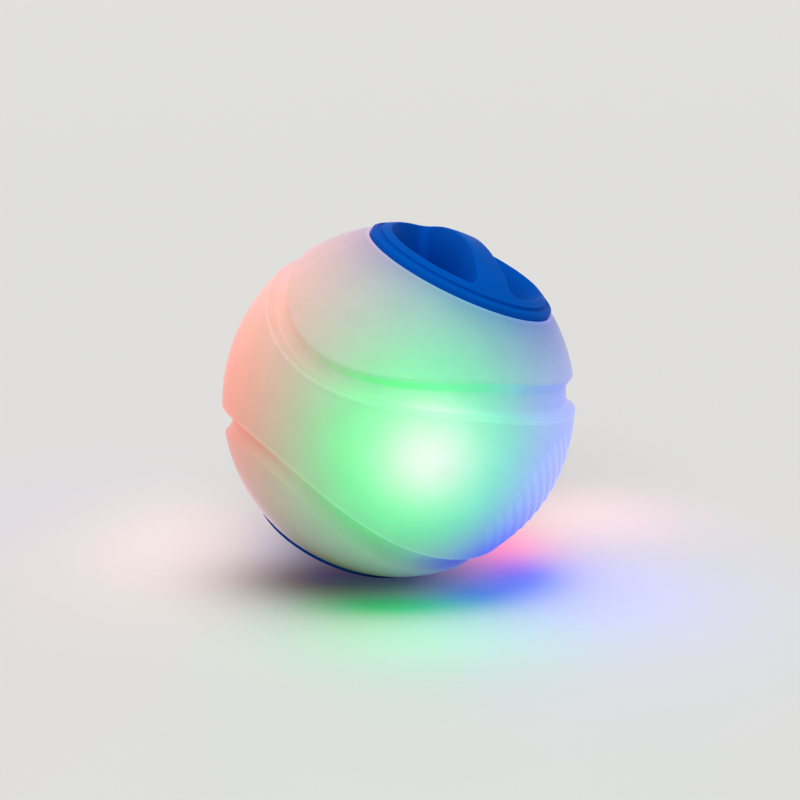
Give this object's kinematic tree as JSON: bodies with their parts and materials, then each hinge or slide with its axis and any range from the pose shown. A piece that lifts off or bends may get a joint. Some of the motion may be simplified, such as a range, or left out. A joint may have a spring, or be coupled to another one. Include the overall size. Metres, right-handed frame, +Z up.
{
  "type": "light-up dog ball",
  "caption": "Translucent rubber dog ball with wavy grooves and blue end caps; the upper cap unscrews by two finger wells and draws out a battery sled from a lamp-lit clear core.",
  "frame": {"origin": "centre of the ball", "axes": "+Z up as the ball lies on the edge of its lower cap; the pole axis through both caps leans 24 degrees from +Z towards +X; -Y is the side the picture shows"},
  "size_m": [0.076, 0.076, 0.0768],
  "materials": {
    "shell_rubber": "frosted translucent thermoplastic rubber, satin, lit from inside",
    "cap_rubber": "deep blue soft-touch thermoplastic rubber, matt sheen",
    "seal_rubber": "black silicone rubber",
    "clear_plastic": "clear polycarbonate",
    "board_laminate": "solder-masked glass-epoxy laminate",
    "green_lamp": "green tinted epoxy lamp",
    "blue_lamp": "blue tinted epoxy lamp",
    "red_lamp": "red tinted epoxy lamp",
    "tinned_wire": "tinned wire",
    "black_plastic": "moulded epoxy",
    "ceramic": "chip resistor",
    "can_sleeve": "shrink sleeve over an aluminium can",
    "nickel": "nickel-plated steel",
    "screw_steel": "zinc-plated steel",
    "sled_plastic": "natural white ABS, satin",
    "cell_steel": "stainless cell can",
    "contact_brass": "phosphor bronze strip"
  },
  "bodies": {
    "root": {"outer_shell": "shell_rubber", "base_cap": "cap_rubber", "base_seal": "seal_rubber", "core_upper": "clear_plastic", "core_lower": "clear_plastic", "circuit_board": "board_laminate", "green_led": "green_lamp", "blue_leds": "blue_lamp", "red_leds": "red_lamp", "led_leads": "tinned_wire", "controller_chip": "black_plastic", "resistors": "ceramic", "capacitor": "can_sleeve", "motion_switch_can": "nickel", "board_screws": "screw_steel", "base_screws": "screw_steel", "board_leaf": "contact_brass", "battery_spring": "screw_steel"},
    "sled": {"battery_sled": "sled_plastic", "coin_cells": "cell_steel", "sled_contact": "contact_brass", "swivel_washer": "sled_plastic"},
    "cap": {"twist_cap": "cap_rubber", "cap_seal": "seal_rubber", "swivel_screw": "screw_steel"},
    "switch_ball": {"motion_switch_ball": "nickel"}
  },
  "joints": [
    {"name": "cap_rise", "type": "slide", "parent": "root", "child": "sled", "axis": [0.4067, 0, 0.9135], "range_m": [0, 0.01]},
    {"name": "cap_turn", "type": "hinge", "parent": "sled", "child": "cap", "pos_m": [0, 0, 0], "axis": [0.4067, 0, 0.9135], "range_deg": [0, 150]},
    {"name": "switch_roll", "type": "slide", "parent": "root", "child": "switch_ball", "axis": [-0.8246, 0.4305, 0.3671], "range_m": [0, 0.0031]}
  ],
  "couplings": [
    {"joint": "cap_rise", "follows": "cap_turn", "m_per_rad": 0.0038197}
  ]
}
